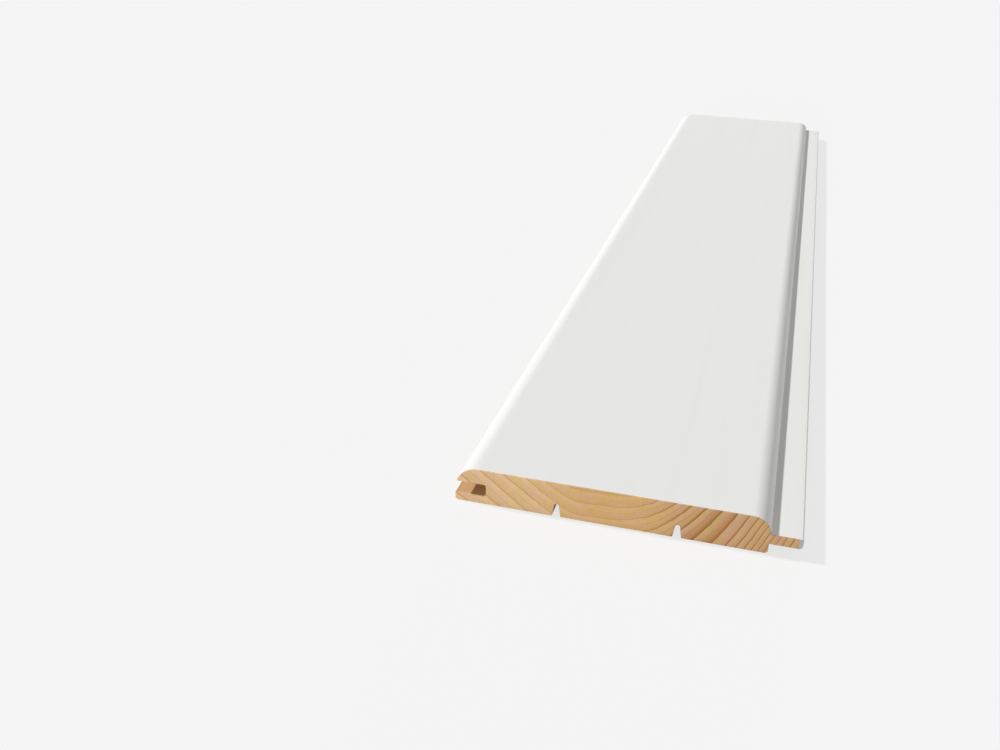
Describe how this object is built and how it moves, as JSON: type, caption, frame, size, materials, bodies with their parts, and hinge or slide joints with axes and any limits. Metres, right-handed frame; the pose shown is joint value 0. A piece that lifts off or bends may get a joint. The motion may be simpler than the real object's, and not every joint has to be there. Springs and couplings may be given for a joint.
{
  "type": "tongue and groove board",
  "caption": "Planed panelling board with a painted face and rounded edges, its tongue fitting the groove of a like board beside it; relief grooves run along the back.",
  "frame": {"origin": "on the back, under the middle of the overall width and of the length", "axes": "+X across the board towards the tongue, +Y along the length, +Z out of the painted face"},
  "size_m": [0.12, 0.66, 0.0135],
  "materials": {
    "painted_pine": "satin"
  },
  "bodies": {
    "root": {"board": "painted_pine"}
  },
  "joints": []
}
